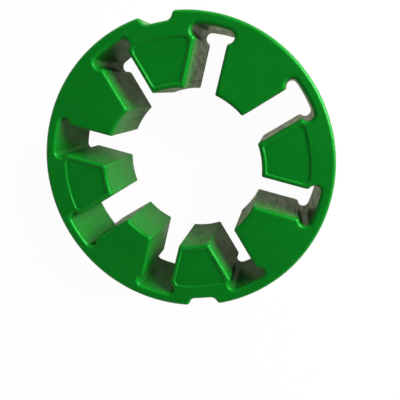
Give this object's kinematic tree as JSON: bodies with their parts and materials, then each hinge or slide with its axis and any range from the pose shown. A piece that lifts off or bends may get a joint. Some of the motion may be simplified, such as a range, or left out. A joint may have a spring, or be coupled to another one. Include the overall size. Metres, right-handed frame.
{
  "type": "coupling elastomer insert",
  "caption": "One-piece polyurethane ring whose inward teeth sit between the jaws of two coupling hubs, carrying torque and damping shocks.",
  "frame": {"origin": "centre of the ring on its back face", "axes": "+Z along the ring's axis towards the pocketed front face, +Y through one rim notch and the middle of the tooth inside it"},
  "size_m": [0.104, 0.1032, 0.03],
  "materials": {
    "green_polyurethane": "semi-gloss moulded polyurethane"
  },
  "bodies": {
    "root": {"coupling_insert": "green_polyurethane"}
  },
  "joints": []
}
